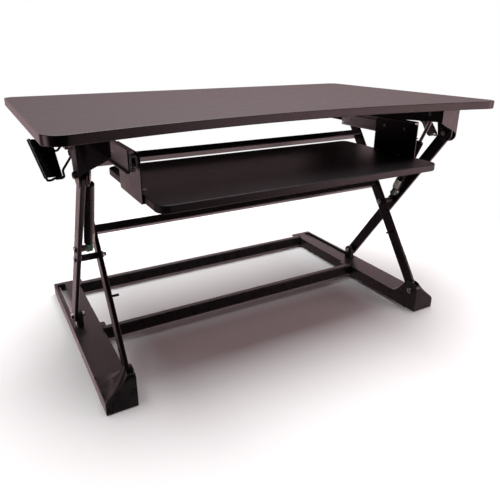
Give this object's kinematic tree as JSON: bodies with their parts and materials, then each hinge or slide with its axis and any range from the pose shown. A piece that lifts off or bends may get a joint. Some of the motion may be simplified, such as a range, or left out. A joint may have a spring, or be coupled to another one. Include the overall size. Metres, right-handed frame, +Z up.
{
  "type": "standing desk converter",
  "caption": "Black sit-stand desk converter: bow-fronted worktop on a scissor lift with gas springs, sliding keyboard tray, side release handles and two long feet.",
  "frame": {"origin": "centre of the bounding box's bottom face, on the surface the feet stand on", "axes": "+X to the user's right, +Y away from the user, +Z up"},
  "size_m": [0.95, 0.6, 0.527],
  "materials": {
    "worktop": "black laminate over a wood core, light satin",
    "edge": "black edge band",
    "frame": "black powder coat, satin",
    "steel": "zinc-plated steel",
    "slides": "zinc-plated rolled steel",
    "rail": "bare rolled steel",
    "nylon": "black nylon",
    "pad": "black rubber",
    "cylinder": "black gloss coat",
    "sleeve": "pale grey plastic",
    "end": "grey-green plastic",
    "rod": "chromed rod",
    "wire": "black-coated wire"
  },
  "bodies": {
    "base": {"foot_left": "frame", "foot_right": "frame", "foot_pads": "pad", "front_base_tube": "frame", "rear_base_tube": "frame", "slot_rails": "rail", "foot_pivot_bolts": "steel"},
    "inner_frame": {"inner_arm_left": "frame", "inner_arm_right": "frame", "upper_cross_tube": "frame", "lower_cross_tube": "frame", "centre_bolts": "steel", "centre_spacers": "nylon", "stub_pins": "nylon", "glide_pins": "steel"},
    "outer_left": {"outer_arm_left": "frame", "spring_stud_left": "steel", "slider_bolt_left": "steel", "spring_end_left": "end", "spring_cylinder_left": "cylinder", "spring_sleeve_left": "sleeve"},
    "slider_left": {"slider_block_left": "nylon"},
    "track_glide_left": {"glide_left": "nylon"},
    "rod_left": {"spring_rod_left": "rod"},
    "outer_right": {"outer_arm_right": "frame", "spring_stud_right": "steel", "slider_bolt_right": "steel", "spring_end_right": "end", "spring_cylinder_right": "cylinder", "spring_sleeve_right": "sleeve"},
    "slider_right": {"slider_block_right": "nylon"},
    "track_glide_right": {"glide_right": "nylon"},
    "rod_right": {"spring_rod_right": "rod"},
    "worktop": {"worktop_panel": "worktop", "worktop_edge": "edge", "bracket_left": "frame", "bracket_right": "frame", "rear_track_left": "frame", "rear_track_right": "frame", "slide_hangers": "frame", "slide_outer_left": "slides", "slide_outer_right": "slides", "top_pivot_bolts": "steel", "spring_pins": "steel", "bracket_bolts": "steel", "handle_mounts": "frame", "panel_screws": "steel"},
    "mid_left": {"slide_mid_left": "slides"},
    "mid_right": {"slide_mid_right": "slides"},
    "tray": {"tray_panel": "worktop", "tray_bracket_left": "frame", "tray_bracket_right": "frame", "slide_inner_left": "slides", "slide_inner_right": "slides", "tray_screws": "steel"},
    "handle_left": {"handle_grip_left": "frame", "handle_wire_left": "wire"},
    "handle_right": {"handle_grip_right": "frame", "handle_wire_right": "wire"}
  },
  "joints": [
    {"name": "lift", "type": "hinge", "parent": "base", "child": "inner_frame", "pos_m": [0, -0.222, 0.053], "axis": [1, 0, 0], "range_deg": [-46.7, 0]},
    {"name": "outer_left_cross", "type": "hinge", "parent": "inner_frame", "child": "outer_left", "pos_m": [0, -0.081, 0.25214], "axis": [1, 0, 0], "range_deg": [-0.2, 93.6]},
    {"name": "slider_left_pivot", "type": "hinge", "parent": "outer_left", "child": "slider_left", "pos_m": [-0.405, 0.05999, 0.053], "axis": [1, 0, 0], "range_deg": [-46.8, 0.1]},
    {"name": "glide_left_pivot", "type": "hinge", "parent": "inner_frame", "child": "track_glide_left", "pos_m": [-0.383, 0.05999, 0.45127], "axis": [1, 0, 0], "range_deg": [-0.1, 46.8]},
    {"name": "rod_left_slide", "type": "slide", "parent": "outer_left", "child": "rod_left", "axis": [0, -0.4114, 0.9115], "range_m": [-0.03463, 0.0003]},
    {"name": "outer_right_cross", "type": "hinge", "parent": "inner_frame", "child": "outer_right", "pos_m": [0, -0.081, 0.25214], "axis": [1, 0, 0], "range_deg": [-0.2, 93.6]},
    {"name": "slider_right_pivot", "type": "hinge", "parent": "outer_right", "child": "slider_right", "pos_m": [0.405, 0.05999, 0.053], "axis": [1, 0, 0], "range_deg": [-46.8, 0.1]},
    {"name": "glide_right_pivot", "type": "hinge", "parent": "inner_frame", "child": "track_glide_right", "pos_m": [0.383, 0.05999, 0.45127], "axis": [1, 0, 0], "range_deg": [-0.1, 46.8]},
    {"name": "rod_right_slide", "type": "slide", "parent": "outer_right", "child": "rod_right", "axis": [0, -0.4114, 0.9115], "range_m": [-0.03463, 0.0003]},
    {"name": "worktop_pivot", "type": "hinge", "parent": "outer_left", "child": "worktop", "pos_m": [0, -0.222, 0.45127], "axis": [1, 0, 0], "range_deg": [-46.8, 0.1]},
    {"name": "tray_slide", "type": "slide", "parent": "worktop", "child": "tray", "axis": [0, -1, 0], "range_m": [0, 0.25]},
    {"name": "mid_left_slide", "type": "slide", "parent": "worktop", "child": "mid_left", "axis": [0, -1, 0], "range_m": [-0.0005, 0.1255]},
    {"name": "mid_right_slide", "type": "slide", "parent": "worktop", "child": "mid_right", "axis": [0, -1, 0], "range_m": [-0.0005, 0.1255]},
    {"name": "handle_left_pivot", "type": "hinge", "parent": "worktop", "child": "handle_left", "pos_m": [-0.4135, -0.144, 0.47127], "axis": [0, 0.6947, 0.7193], "range_deg": [0, 14], "stiffness_Nm_per_rad": 3},
    {"name": "handle_right_pivot", "type": "hinge", "parent": "worktop", "child": "handle_right", "pos_m": [0.4135, -0.144, 0.47127], "axis": [0, -0.6947, -0.7193], "range_deg": [0, 14], "stiffness_Nm_per_rad": 3}
  ],
  "couplings": [
    {"joint": "outer_left_cross", "follows": "lift", "ratio": -2},
    {"joint": "slider_left_pivot", "follows": "lift", "ratio": 1},
    {"joint": "glide_left_pivot", "follows": "lift", "ratio": -1},
    {"joint": "rod_left_slide", "follows": "lift", "m_per_rad": 0.04212},
    {"joint": "outer_right_cross", "follows": "lift", "ratio": -2},
    {"joint": "slider_right_pivot", "follows": "lift", "ratio": 1},
    {"joint": "glide_right_pivot", "follows": "lift", "ratio": -1},
    {"joint": "rod_right_slide", "follows": "lift", "m_per_rad": 0.04212},
    {"joint": "worktop_pivot", "follows": "lift", "ratio": 1},
    {"joint": "mid_left_slide", "follows": "tray_slide", "ratio": 0.5},
    {"joint": "mid_right_slide", "follows": "tray_slide", "ratio": 0.5}
  ]
}
